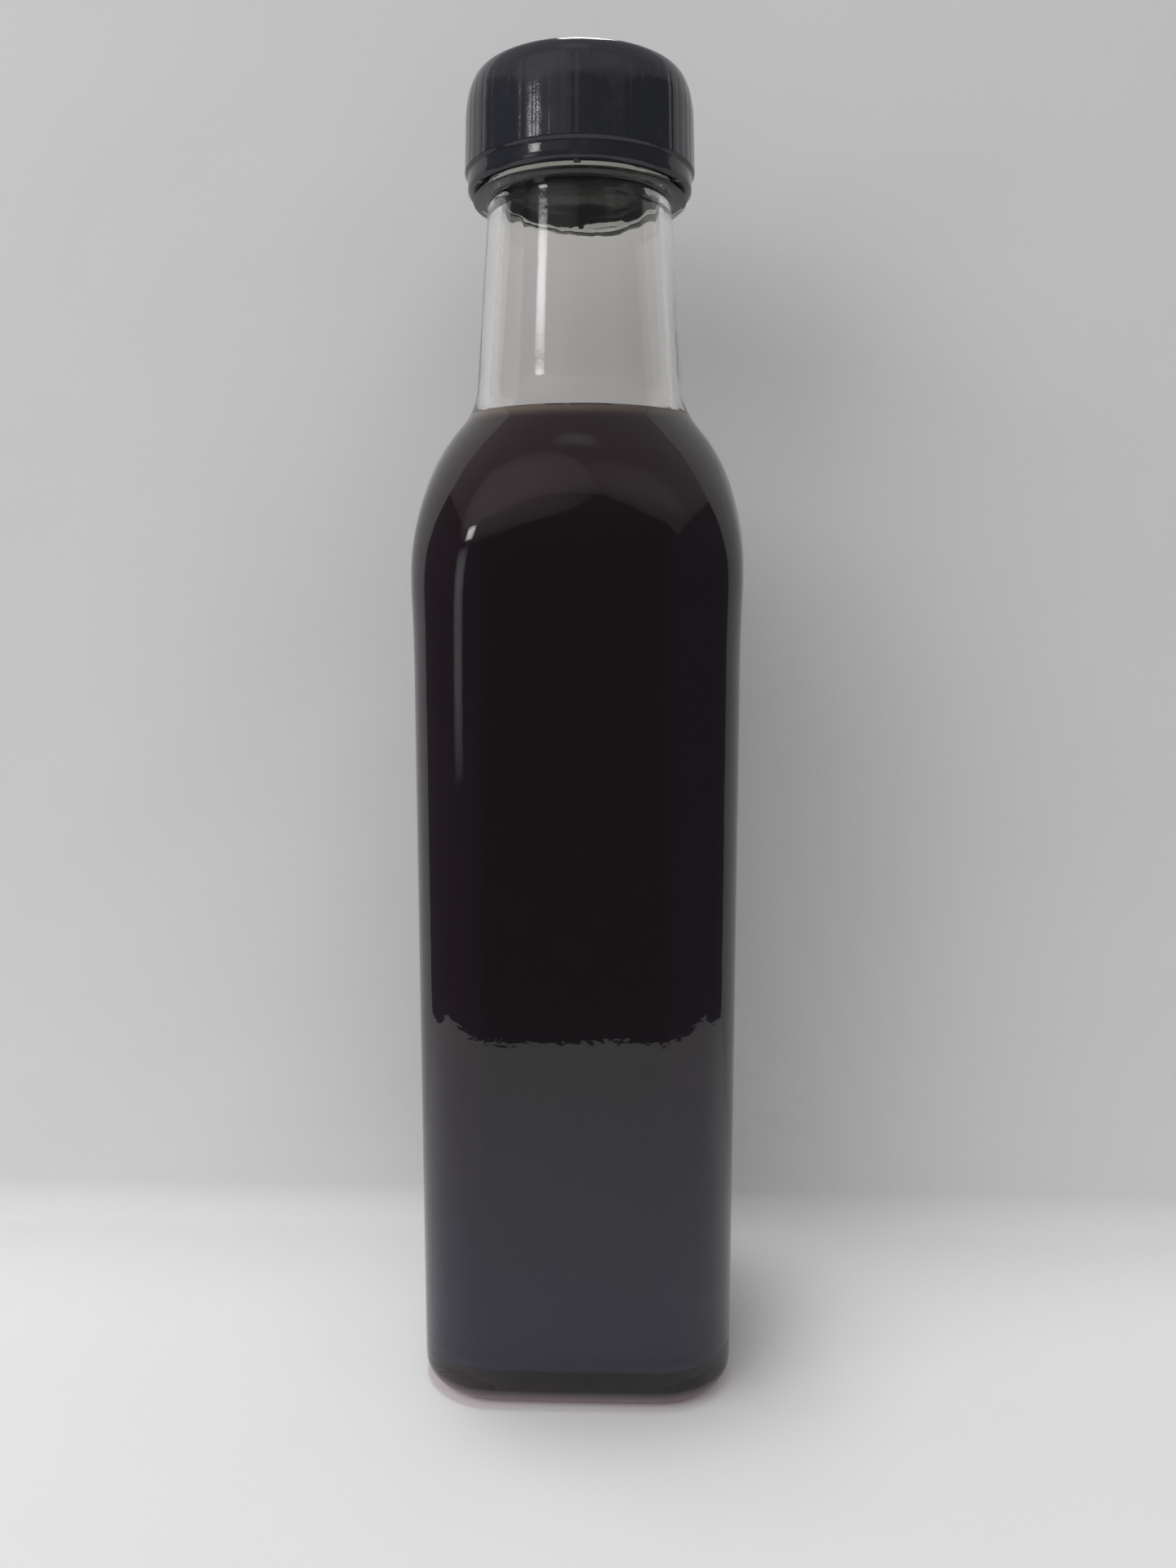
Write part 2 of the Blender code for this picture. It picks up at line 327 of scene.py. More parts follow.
def start_group(name, inputs, outputs):
    """A shader node group with named number inputs and outputs, and its two end nodes."""
    group = bpy.data.node_groups.new(name, "ShaderNodeTree")
    group.interface.new_socket("Position", in_out="INPUT", socket_type="NodeSocketVector")
    for label, value in inputs:
        socket = group.interface.new_socket(label, in_out="INPUT", socket_type="NodeSocketFloat")
        socket.default_value = value
    for label in outputs:
        group.interface.new_socket(label, in_out="OUTPUT", socket_type="NodeSocketFloat")
    return group, put_node(group, "NodeGroupInput"), put_node(group, "NodeGroupOutput")


def make_ripples():
    """Two sizes of gentle unevenness, as cooling leaves on glass, syrup and plastic."""
    group, given, made = start_group(
        "surface_ripples",
        [("Broad Scale", 60.0), ("Fine Scale", 400.0), ("Fine Share", 0.2)],
        ["Height"],
    )
    link = group.links.new
    broad = put_node(group, "ShaderNodeTexNoise", None, {"Detail": 1.0, "Roughness": 0.4})
    fine = put_node(group, "ShaderNodeTexNoise", None, {"Detail": 2.0, "Roughness": 0.5})
    added = put_node(group, "ShaderNodeMath", {"operation": "MULTIPLY_ADD"})
    link(given.outputs["Position"], broad.inputs["Vector"])
    link(given.outputs["Position"], fine.inputs["Vector"])
    link(given.outputs["Broad Scale"], broad.inputs["Scale"])
    link(given.outputs["Fine Scale"], fine.inputs["Scale"])
    link(fine.outputs["Fac"], added.inputs[0])
    link(given.outputs["Fine Share"], added.inputs[1])
    link(broad.outputs["Fac"], added.inputs[2])
    link(added.outputs[0], made.inputs["Height"])
    return group


def make_handling():
    """Smears and finger marks: a patchy mask that adds roughness where things are held."""
    group, given, made = start_group(
        "handling_marks",
        [("Patch Scale", 35.0), ("Clean", 0.02), ("Smeared", 0.1)],
        ["Roughness", "Mask"],
    )
    link = group.links.new
    patches = put_node(
        group, "ShaderNodeTexNoise", None, {"Detail": 5.0, "Roughness": 0.6, "Distortion": 0.8}
    )
    edges = put_node(
        group,
        "ShaderNodeMapRange",
        {"interpolation_type": "SMOOTHSTEP"},
        {"From Min": 0.48, "From Max": 0.72},
    )
    spread = put_node(group, "ShaderNodeMapRange")
    link(given.outputs["Position"], patches.inputs["Vector"])
    link(given.outputs["Patch Scale"], patches.inputs["Scale"])
    link(patches.outputs["Fac"], edges.inputs["Value"])
    link(edges.outputs["Result"], spread.inputs["Value"])
    link(given.outputs["Clean"], spread.inputs["To Min"])
    link(given.outputs["Smeared"], spread.inputs["To Max"])
    link(spread.outputs["Result"], made.inputs["Roughness"])
    link(edges.outputs["Result"], made.inputs["Mask"])
    return group


SURFACE_RIPPLES = make_ripples()
HANDLING_MARKS = make_handling()


def start_material(name, values):
    """A material with its Principled shader, a position node and plain shader values."""
    material = bpy.data.materials.new(name)
    material.use_nodes = True
    tree = material.node_tree
    shader = tree.nodes["Principled BSDF"]
    for key, value in values.items():
        shader.inputs[key].default_value = value
    return material, tree, shader, put_node(tree, "ShaderNodeTexCoord").outputs["Object"]


def add_group(tree, group, position, values):
    """A shared effect placed in a material, reading the object's own position."""
    placed = put_node(tree, "ShaderNodeGroup", {"node_tree": group}, values)
    tree.links.new(position, placed.inputs["Position"])
    return placed


def add_bump(tree, height, distance, shader):
    """A bump from a height, feeding a shader's normal."""
    bump = put_node(tree, "ShaderNodeBump", None, {"Strength": 1.0, "Distance": distance})
    tree.links.new(height, bump.inputs["Height"])
    tree.links.new(bump.outputs["Normal"], shader.inputs["Normal"])


def mix_colours(tree, factor, first, second):
    """One colour passing into another as a factor rises."""
    mixed = put_node(tree, "ShaderNodeMix", {"data_type": "RGBA"})
    mixed.inputs[6].default_value = first
    mixed.inputs[7].default_value = second
    tree.links.new(factor, mixed.inputs[0])
    return mixed.outputs[2]


def passing(tree, value, start, end):
    """A factor that rises smoothly from nought to one as a value goes from start to end."""
    ramp = put_node(
        tree,
        "ShaderNodeMapRange",
        {"interpolation_type": "SMOOTHSTEP"},
        {"From Min": start, "From Max": end},
    )
    tree.links.new(value, ramp.inputs["Value"])
    return ramp.outputs["Result"]


def filter_shadow(tree, height, shader):
    """Lets light through to what is inside, less of it and rosier at the foot."""
    link = tree.links.new
    foot = put_node(
        tree,
        "ShaderNodeMapRange",
        None,
        {"From Min": FOOT_SHADOW_START, "From Max": FOOT_SHADOW_END},
    )
    link(height, foot.inputs["Value"])
    clear = put_node(tree, "ShaderNodeBsdfTransparent")
    filtered = mix_colours(tree, foot.outputs["Result"], GLASS_SHADOW, FOOT_SHADOW)
    link(filtered, clear.inputs["Color"])
    path = put_node(tree, "ShaderNodeLightPath")
    mixed = put_node(tree, "ShaderNodeMixShader")
    link(path.outputs["Is Shadow Ray"], mixed.inputs["Fac"])
    link(shader.outputs["BSDF"], mixed.inputs[1])
    link(clear.outputs["BSDF"], mixed.inputs[2])
    link(mixed.outputs["Shader"], tree.nodes["Material Output"].inputs["Surface"])


def make_flint_glass():
    """Clear glass, faintly green where it is thick, that lets light through to its inside."""
    material, tree, shader, position = start_material(
        "flint_glass", {"Metallic": 0.0, "Transmission Weight": 1.0, "IOR": 1.52}
    )
    link = tree.links.new
    split = put_node(tree, "ShaderNodeSeparateXYZ")
    link(position, split.inputs[0])
    thick = passing(tree, split.outputs["Z"], THICK_START, THICK_END)
    link(mix_colours(tree, thick, FLINT_GLASS, FLINT_GLASS_THICK), shader.inputs["Base Color"])
    marks = add_group(
        tree, HANDLING_MARKS, position, {"Patch Scale": 28.0, "Clean": 0.0, "Smeared": 0.02}
    )
    link(marks.outputs["Roughness"], shader.inputs["Roughness"])
    ripples = add_group(
        tree,
        SURFACE_RIPPLES,
        position,
        {"Broad Scale": 70.0, "Fine Scale": 520.0, "Fine Share": 0.30},
    )
    add_bump(tree, ripples.outputs["Height"], 0.00004, shader)
    filter_shadow(tree, split.outputs["Z"], shader)
    return material


def make_painted_glow_foot():
    """The stippled edge the bottle stands on: frosted glass, dark with painted shade at its top
    and a painted rosy glow towards the floor.
    """
    material, tree, shader, position = start_material(
        "stippled_foot_painted_glow", {"Metallic": 0.0, "Transmission Weight": 0.5, "IOR": 1.52}
    )
    link = tree.links.new
    split = put_node(tree, "ShaderNodeSeparateXYZ")
    link(position, split.inputs[0])
    # Painted rosy glow towards the floor, painted shade above it.
    lit = passing(tree, split.outputs["Z"], FOOT_TOP, FOOT_MIDDLE)
    link(mix_colours(tree, lit, FOOT_PAINTED_SHADE, FOOT_PAINTED_GLOW), shader.inputs["Base Color"])
    marks = add_group(
        tree, HANDLING_MARKS, position, {"Patch Scale": 60.0, "Clean": 0.35, "Smeared": 0.50}
    )
    link(marks.outputs["Roughness"], shader.inputs["Roughness"])
    stipple = add_group(
        tree,
        SURFACE_RIPPLES,
        position,
        {"Broad Scale": 400.0, "Fine Scale": 1500.0, "Fine Share": 0.4},
    )
    add_bump(tree, stipple.outputs["Height"], 0.00004, shader)
    filter_shadow(tree, split.outputs["Z"], shader)
    return material


bottle = blow_bottle()
bottle.data.materials.append(make_flint_glass())
bottle.data.materials.append(make_painted_glow_foot())
for face in bottle.data.polygons:
    if max(bottle.data.vertices[corner].co.z for corner in face.vertices) < FOOT_TOP:
        face.material_index = 1
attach(bottle, "root")
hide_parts("bottle_glass")

# ---------------------------------------------------------------------------
# The molasses: thick near-black red-brown syrup that wets the wall, filled to
# the foot of the neck. It reaches just into the glass, so no air shows between
# them, and its free surface creeps up the wall in a small rounded edge.
# ---------------------------------------------------------------------------
FILL_HEIGHT = 0.1589
WETTING = 0.00006
MENISCUS_RISE = 0.0009
MENISCUS_REACH = 0.0026
SYRUP = (0.0160, 0.0105, 0.0122, 1.0)
SYRUP_WARM = (0.0210, 0.0120, 0.0128, 1.0)
# Painted light: the syrup paler and redder under the dome, where light gets in.
SYRUP_PAINTED_SHOULDER_LIGHT = (0.0270, 0.0125, 0.0140, 1.0)
SHOULDER_START = 0.132
SHOULDER_END = 0.153
# Painted reflection: a bluish reflection of the floor over the lower body.
SYRUP_PAINTED_FLOOR_REFLECTION = (0.0450, 0.0410, 0.0760, 1.0)
LOW_START = 0.072
LOW_END = 0.006
# Painted reflection: the bluish floor reflection, paler on the syrup's underside.
SYRUP_PAINTED_BASE_REFLECTION = (0.085, 0.078, 0.150, 1.0)
UNDERSIDE_START = 0.0078
UNDERSIDE_END = 0.0054
# Painted light: a paler, redder glow at the corners.
SYRUP_PAINTED_CORNER_GLOW = (0.0310, 0.0170, 0.0270, 1.0)
CORNER_START = 0.0262
CORNER_END = 0.0292
# The amber of thin syrup at the top edge, brightened as painted light shining through it.
SYRUP_PAINTED_AMBER_GLOW = (0.29, 0.235, 0.190, 1.0)
AMBER_GLOW_DEPTH = 0.0034
AMBER_GLOW_FADE = 2.5


def fill_bottle():
    """The syrup: up the inside of the glass, then in over its curved free surface."""
    angles = body_angles(8, 16)
    rings = [round_ring(FLOOR_HEIGHT + FLOOR_MIDDLE_RISE - WETTING, angles, FLOOR_MIDDLE)]
    rings += rounded_foot(angles, FLOOR_HEIGHT - WETTING, FLOOR_ROUNDING, WALL - WETTING)
    levels = [
        level for level in wall_levels(FLOOR_HEIGHT + FLOOR_ROUNDING) if level < FILL_HEIGHT
    ]
    for level in levels + [FILL_HEIGHT]:
        rings.append(
            ring_at(
                level,
                angles,
                lambda angle: bottle_reach(angle, level, inner_inset(angle, level) - WETTING),
            )
        )
    wall_rings = len(rings)
    edge = bottle_reach(0, FILL_HEIGHT, NECK_WALL)
    for share in steps(0, 1, 12)[1:]:
        radius = edge - MENISCUS_REACH * share
        height = FILL_HEIGHT - MENISCUS_RISE * (1 - (1 - share) ** 3)
        rings.append(round_ring(height, angles, radius))
    floor = FILL_HEIGHT - MENISCUS_RISE
    for share in (0.75, 0.5, 0.25, 0.08):
        rings.append(round_ring(floor, angles, share * (edge - MENISCUS_REACH)))
    first_pole = (0, 0, FLOOR_HEIGHT + FLOOR_RISE - WETTING)
    piece = skin_rings("molasses_dressed", rings, first_pole, (0, 0, floor))
    per_strip = len(rings) + 1
    for index, face in enumerate(piece.data.polygons):
        face.material_index = 1 if index % per_strip >= wall_rings else 0
    return piece


def cloud_syrup(tree, position):
    """The near-black of the syrup itself, faintly clouded."""
    clouds = put_node(tree, "ShaderNodeTexNoise", None, {"Scale": 45.0, "Detail": 3.0})
    tree.links.new(position, clouds.inputs["Vector"])
    return mix_colours(tree, clouds.outputs["Fac"], SYRUP, SYRUP_WARM)


def colour_syrup(tree, position, shader):
    """Syrup seen through the wall: dark, with painted light under the dome and at the corners, a
    painted floor reflection low down and on its underside, and the amber of thin syrup brightened
    by painted light at its top edge.
    """
    link = tree.links.new
    split = put_node(tree, "ShaderNodeSeparateXYZ")
    link(position, split.inputs[0])
    height = split.outputs["Z"]
    flat = put_node(tree, "ShaderNodeVectorMath", {"operation": "MULTIPLY"}, {1: (1, 1, 0)})
    link(position, flat.inputs[0])
    reach = put_node(tree, "ShaderNodeVectorMath", {"operation": "LENGTH"})
    link(flat.outputs["Vector"], reach.inputs[0])
    edge = put_node(
        tree,
        "ShaderNodeMapRange",
        {"interpolation_type": "SMOOTHERSTEP"},
        {"From Min": FILL_HEIGHT - AMBER_GLOW_DEPTH, "From Max": FILL_HEIGHT},
    )
    link(height, edge.inputs["Value"])
    faded = put_node(tree, "ShaderNodeMath", {"operation": "POWER"}, {1: AMBER_GLOW_FADE})
    link(edge.outputs["Result"], faded.inputs[0])
    colour = cloud_syrup(tree, position)
    for factor, other in (
        (passing(tree, height, SHOULDER_START, SHOULDER_END), SYRUP_PAINTED_SHOULDER_LIGHT),
        (passing(tree, reach.outputs["Value"], CORNER_START, CORNER_END), SYRUP_PAINTED_CORNER_GLOW),
        (passing(tree, height, LOW_START, LOW_END), SYRUP_PAINTED_FLOOR_REFLECTION),
        (passing(tree, height, UNDERSIDE_START, UNDERSIDE_END), SYRUP_PAINTED_BASE_REFLECTION),
        (faded.outputs[0], SYRUP_PAINTED_AMBER_GLOW),
    ):
        mixed = put_node(tree, "ShaderNodeMix", {"data_type": "RGBA"}, {7: other})
        link(factor, mixed.inputs[0])
        link(colour, mixed.inputs[6])
        colour = mixed.outputs[2]
    link(colour, shader.inputs["Base Color"])


def make_syrup_on_glass():
    """Syrup seen through the wall it wets: glass and syrup bend light alike, so no gloss."""
    material, tree, shader, position = start_material(
        "molasses_against_glass", {"Roughness": 0.7, "Specular IOR Level": 0.0, "IOR": 1.45}
    )
    colour_syrup(tree, position, shader)
    return material


def make_syrup_surface():
    """The free surface of the syrup, wet and glossy with a faint swell."""
    material, tree, shader, position = start_material(
        "molasses_free_surface", {"Roughness": 0.06, "IOR": 1.48}
    )
    tree.links.new(cloud_syrup(tree, position), shader.inputs["Base Color"])
    ripples = add_group(
        tree,
        SURFACE_RIPPLES,
        position,
        {"Broad Scale": 90.0, "Fine Scale": 500.0, "Fine Share": 0.05},
    )
    add_bump(tree, ripples.outputs["Height"], 0.0001, shader)
    return material


molasses = fill_bottle()
molasses.data.materials.append(make_syrup_on_glass())
molasses.data.materials.append(make_syrup_surface())
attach(molasses, "root")
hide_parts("molasses")

# ---------------------------------------------------------------------------
# The screw cap: one black polypropylene moulding. A drum with fine upright
# flutes draws in over a rounded crown and stands proud of a smooth lower band
# with a chamfered foot, and small tabs under the foot stand off the glass bead.
# ---------------------------------------------------------------------------
CAP_BAND_RADIUS = 0.0180
CAP_DRUM_RADIUS = 0.01848
CAP_DRAFT = 0.0002
CAP_BOTTOM = 0.1943
CAP_TOP = 0.2118
CAP_FOOT_EDGE = ((-0.0006, 0.0), (-0.0005, 0.00003), (-0.00008, 0.00045), (0.0, 0.00058))
CROWN_START = 0.2047
CROWN_DEPTH = 0.0024
BAND_MIDDLE = 0.1956
BAND_EDGE = 0.1967
BAND_TOP = 0.1969
DRUM_BOTTOM = 0.1976
FLUTE_BOTTOM = 0.1972
FLUTE_TOP = 0.2092
FLUTE_DEPTH = 0.000035
FLUTE_HALF_WIDTH = 0.00052
FLUTE_COUNT = 56
CAP_BORE_RADIUS = 0.0165
CAP_BORE_FLARE = 0.0003
CAP_BORE_FLARE_TOP = 0.1947
CAP_CEILING = 0.2094
CEILING_BEVEL = 0.0012
CAP_MIDDLE = 0.008
TOP_RECESS = 0.00015
TOP_RECESS_RADIUS = 0.0150
TOP_RECESS_EDGE = 0.0153
WELD_DISTANCE = 0.000001
CREASE_ANGLE = math.radians(50)
TAB_COUNT = 6
TAB_WIDTH = 0.0011
TAB_HEIGHT = 0.0003
TAB_DEPTH = 0.0010
TAB_BEVEL = 0.00012
TAB_ROOT = 0.0002
TAB_REACH = 0.0171
TAB_START = math.radians(31)
BLACK_PLASTIC = (0.0230, 0.0235, 0.0295, 1.0)
BLACK_PLASTIC_RUBBED = (0.0300, 0.0300, 0.0360, 1.0)


def cap_radius_at(height):
    """Outer radius of the cap's side: band, ledge, slightly tapered drum, then crown."""
    share = min((height - DRUM_BOTTOM) / (CROWN_START - DRUM_BOTTOM), 1)
    rise = min(max((height - CROWN_START) / (CAP_TOP - CROWN_START), 0), 1)
    drawn_in = CROWN_DEPTH * (1 - math.sqrt(1 - rise**2))
    drum = CAP_DRUM_RADIUS - CAP_DRAFT * max(share, 0) - drawn_in
    ledge = min(max((height - BAND_TOP) / (DRUM_BOTTOM - BAND_TOP), 0), 1)
    return CAP_BAND_RADIUS + (drum - CAP_BAND_RADIUS) * ledge**2 * (3 - 2 * ledge)


def flute_depth(side, height):
    """Depth of a flute with rounded ends, beside its centre line."""
    low, high = FLUTE_BOTTOM + FLUTE_HALF_WIDTH, FLUTE_TOP - FLUTE_HALF_WIDTH
    beyond = max(low - height, height - high, 0)
    spread = (side**2 + beyond**2) / FLUTE_HALF_WIDTH**2
    return FLUTE_DEPTH * max(1 - spread, 0) ** 1.5


def cap_outline():
    """The cap's outline as (radius, height): bore, foot, band, drum, crown and top."""
    bore = CAP_BORE_RADIUS
    line = [(0, CAP_CEILING), (CAP_MIDDLE, CAP_CEILING), (bore - CEILING_BEVEL, CAP_CEILING)]
    line += [(bore, CAP_CEILING - CEILING_BEVEL), (bore, CAP_BORE_FLARE_TOP)]
    line += [(bore + CAP_BORE_FLARE, CAP_BOTTOM)]
    line += [(CAP_BAND_RADIUS + out, CAP_BOTTOM + up) for out, up in CAP_FOOT_EDGE]
    levels = [BAND_MIDDLE, BAND_EDGE]
    levels += steps(BAND_TOP, FLUTE_BOTTOM, 4)
    levels += steps(FLUTE_BOTTOM, FLUTE_BOTTOM + FLUTE_HALF_WIDTH, 8)[1:]
    levels += steps(FLUTE_BOTTOM + FLUTE_HALF_WIDTH, FLUTE_TOP - FLUTE_HALF_WIDTH, 14)[1:]
    levels += steps(FLUTE_TOP - FLUTE_HALF_WIDTH, FLUTE_TOP, 8)[1:]
    line += [(cap_radius_at(level), level) for level in levels]
    first_turn = math.asin((FLUTE_TOP - CROWN_START) / (CAP_TOP - CROWN_START))
    for turn in steps(first_turn, math.pi / 2, 14)[1:]:
        height = CROWN_START + (CAP_TOP - CROWN_START) * math.sin(turn)
        line.append((cap_radius_at(height), height))
    recess = CAP_TOP - TOP_RECESS
    line += [(TOP_RECESS_EDGE, CAP_TOP), (TOP_RECESS_RADIUS, recess)]
    return line + [(CAP_MIDDLE, recess), (0, recess)]


def mould_sector():
    """One flute's share of the cap, open along both sides, at the +X side."""
    half_pitch = math.pi / FLUTE_COUNT
    across = steps(-half_pitch, half_pitch, 12)
    points = []
    for radius, height in cap_outline():
        outside = radius > CAP_BORE_RADIUS and height > BAND_TOP
        for angle in across:
            depth = flute_depth(radius * angle, height) if outside else 0
            reach = radius - depth
            points.append((reach * math.cos(angle), reach * math.sin(angle), height))
    count = len(across)
    faces = []
    for low in range(0, len(points) - count, count):
        for i in range(low, low + count - 1):
            faces.append((i, i + 1, i + count + 1, i + count))
    mesh = bpy.data.meshes.new("cap_sector")
    mesh.from_pydata(points, [], faces)
    mesh.shade_smooth()
    return bpy.data.objects.new("cap_sector", mesh)


def mould_tab():
    """One tab at the +X side: a small block with bevelled edges under the cap's foot."""
    low, high = CAP_BOTTOM - TAB_HEIGHT, CAP_BOTTOM + TAB_ROOT
    rings = []
    for level, inset in ((low, TAB_BEVEL), (low + TAB_BEVEL, 0.0), (high, 0.0)):
        near, far = TAB_REACH - TAB_DEPTH / 2 + inset, TAB_REACH + TAB_DEPTH / 2 - inset
        wide = TAB_WIDTH / 2 - inset
        corners = ((far, -wide), (far, wide), (near, wide), (near, -wide))
        rings.append([(x, y, level) for x, y in corners])
    return skin_rings("cap_tab", rings, (TAB_REACH, 0, low), (TAB_REACH, 0, high))


def make_turning_tree():
    """Copies of one moulded detail set evenly round the axis, as a plain mesh."""
    tree = bpy.data.node_groups.new("set_round_the_cap", "GeometryNodeTree")
    sockets = tree.interface
    sockets.new_socket("Geometry", in_out="INPUT", socket_type="NodeSocketGeometry")
    sockets.new_socket("Detail", in_out="INPUT", socket_type="NodeSocketObject")
    sockets.new_socket("Count", in_out="INPUT", socket_type="NodeSocketInt")
    sockets.new_socket("Start Angle", in_out="INPUT", socket_type="NodeSocketFloat")
    sockets.new_socket("Material", in_out="INPUT", socket_type="NodeSocketMaterial")
    sockets.new_socket("Geometry", in_out="OUTPUT", socket_type="NodeSocketGeometry")
    given, made = put_node(tree, "NodeGroupInput"), put_node(tree, "NodeGroupOutput")
    points = put_node(tree, "GeometryNodePoints")
    index = put_node(tree, "GeometryNodeInputIndex")
    pitch = put_node(tree, "ShaderNodeMath", {"operation": "DIVIDE"}, {0: 2 * math.pi})
    turn = put_node(tree, "ShaderNodeMath", {"operation": "MULTIPLY_ADD"})
    upright = put_node(tree, "ShaderNodeCombineXYZ")
    detail = put_node(tree, "GeometryNodeObjectInfo")
    copies = put_node(tree, "GeometryNodeInstanceOnPoints")
    real = put_node(tree, "GeometryNodeRealizeInstances")
    finish = put_node(tree, "GeometryNodeSetMaterial")
    link = tree.links.new
    link(given.outputs["Count"], points.inputs["Count"])
    link(given.outputs["Count"], pitch.inputs[1])
    link(index.outputs[0], turn.inputs[0])
    link(pitch.outputs[0], turn.inputs[1])
    link(given.outputs["Start Angle"], turn.inputs[2])
    link(turn.outputs[0], upright.inputs["Z"])
    link(given.outputs["Detail"], detail.inputs["Object"])
    link(points.outputs[0], copies.inputs["Points"])
    link(detail.outputs["Geometry"], copies.inputs["Instance"])
    link(upright.outputs[0], copies.inputs["Rotation"])
    link(copies.outputs[0], real.inputs["Geometry"])
    link(real.outputs[0], finish.inputs["Geometry"])
    link(given.outputs["Material"], finish.inputs["Material"])
    link(finish.outputs[0], made.inputs["Geometry"])
    return tree


TURNING_TREE = make_turning_tree()


def set_round(name, detail, count, start_angle, material):
    """A new piece of evenly turned copies of a detail, welded where they meet."""
    bearer = bpy.data.objects.new(name + "_bearer", bpy.data.meshes.new(name + "_bearer"))
    bpy.context.scene.collection.objects.link(bearer)
    modifier = bearer.modifiers.new("turned_copies", "NODES")
    modifier.node_group = TURNING_TREE
    values = {
        "Detail": detail,
        "Count": count,
        "Start Angle": start_angle,
        "Material": material,
    }
    for socket in TURNING_TREE.interface.items_tree:
        if socket.in_out == "INPUT" and socket.name in values:
            modifier[socket.identifier] = values[socket.name]
    evaluated = bearer.evaluated_get(bpy.context.evaluated_depsgraph_get())
    mesh = bpy.data.meshes.new_from_object(evaluated)
    mesh.name = name
    welded = bmesh.new()
    welded.from_mesh(mesh)
    bmesh.ops.remove_doubles(welded, verts=welded.verts, dist=WELD_DISTANCE)
    bmesh.ops.recalc_face_normals(welded, faces=welded.faces)
    welded.to_mesh(mesh)
    welded.free()
    piece = bpy.data.objects.new(name, mesh)
    bpy.context.scene.collection.objects.link(piece)
    bpy.data.objects.remove(bearer)
    bpy.data.objects.remove(detail)
    return piece


def make_black_plastic():
    """Satin black plastic with a fine moulded grain, rubbed a little duller in patches."""
    material, tree, shader, position = start_material(
        "moulded_black_plastic", {"Metallic": 0.0, "IOR": 1.5}
    )
    link = tree.links.new
    marks = add_group(
        tree, HANDLING_MARKS, position, {"Patch Scale": 160.0, "Clean": 0.045, "Smeared": 0.13}
    )
    link(marks.outputs["Roughness"], shader.inputs["Roughness"])
    colour = mix_colours(tree, marks.outputs["Mask"], BLACK_PLASTIC, BLACK_PLASTIC_RUBBED)
    link(colour, shader.inputs["Base Color"])
    grain = add_group(
        tree,
        SURFACE_RIPPLES,
        position,
        {"Broad Scale": 500.0, "Fine Scale": 3500.0, "Fine Share": 0.35},
    )
    add_bump(tree, grain.outputs["Height"], 0.00002, shader)
    return material


black_plastic = make_black_plastic()
cap_drum = set_round("screw_cap_dressed", mould_sector(), FLUTE_COUNT, 0.0, black_plastic)
cap_drum.data.set_sharp_from_angle(angle=CREASE_ANGLE)
cap_tabs = set_round("screw_cap_tabs", mould_tab(), TAB_COUNT, TAB_START, black_plastic)
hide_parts("screw_cap")
for cap_piece in (cap_drum, cap_tabs):
    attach(cap_piece, "root")

# ---------------------------------------------------------------------------
# The stage: a sheet of pale paper, level and then curved up behind the bottle,
# with soft daylight from the front left and from overhead.
# ---------------------------------------------------------------------------
PAPER_HALF_WIDTH = 0.215
PAPER_FRONT = -0.203
PAPER_CURVE = 0.232
BEND_START = 0.0330
BEND_RADIUS = 0.007
PAPER_HEIGHT = 0.300
PAPER = (0.80, 0.80, 0.80, 1.0)
PAPER_SHADED = (0.76, 0.765, 0.77, 1.0)
CAMERA_LENS = 28.354
CAMERA_PLACE = (0.00855, -0.21025, 0.12636)
CAMERA_TILT = math.radians(82.55)
CAMERA_TURN = math.radians(1.97)
AIM_HEIGHT = 0.12
MIDDLE_TO_FULL = 16.0
WHITE = (1.0, 1.0, 1.0)
ROSY = (1.0, 0.87, 0.91)
ROOM_FOR_SHADE = (0.386, 0.386, 0.386, 1.0)
ROOM_FOR_GLOSS = (0.095, 0.105, 0.12, 1.0)
ROOM_THROUGH_GLASS = (0.14, 0.14, 0.14, 1.0)


def lay_paper():
    """The sheet: level, with a rounded front edge, and bent up behind to a free edge."""
    line = [(y, 0.0) for y in steps(PAPER_FRONT, BEND_START, 24)]
    for turn in steps(0, math.pi / 2, 16)[1:]:
        along = BEND_START + BEND_RADIUS * math.sin(turn)
        line.append((along, BEND_RADIUS * (1 - math.cos(turn))))
    line += [(BEND_START + BEND_RADIUS, z) for z in steps(BEND_RADIUS, PAPER_HEIGHT, 24)[1:]]
    across = steps(-PAPER_HALF_WIDTH, PAPER_HALF_WIDTH, 30)
    points = []
    for y, z in line:
        for x in across:
            trimmed = math.sqrt(1 - (x / PAPER_CURVE) ** 2) if y < 0 else 1.0
            points.append((x, y * trimmed, z))
    faces = []
    for i in range(len(line) - 1):
        for j in range(len(across) - 1):
            a = i * len(across) + j
            faces.append((a, a + 1, a + len(across) + 1, a + len(across)))
    mesh = bpy.data.meshes.new("paper_sheet")
    mesh.from_pydata(points, [], faces)
    mesh.shade_smooth()
    sheet = bpy.data.objects.new("paper_sheet", mesh)
    bpy.context.scene.collection.objects.link(sheet)
    return sheet


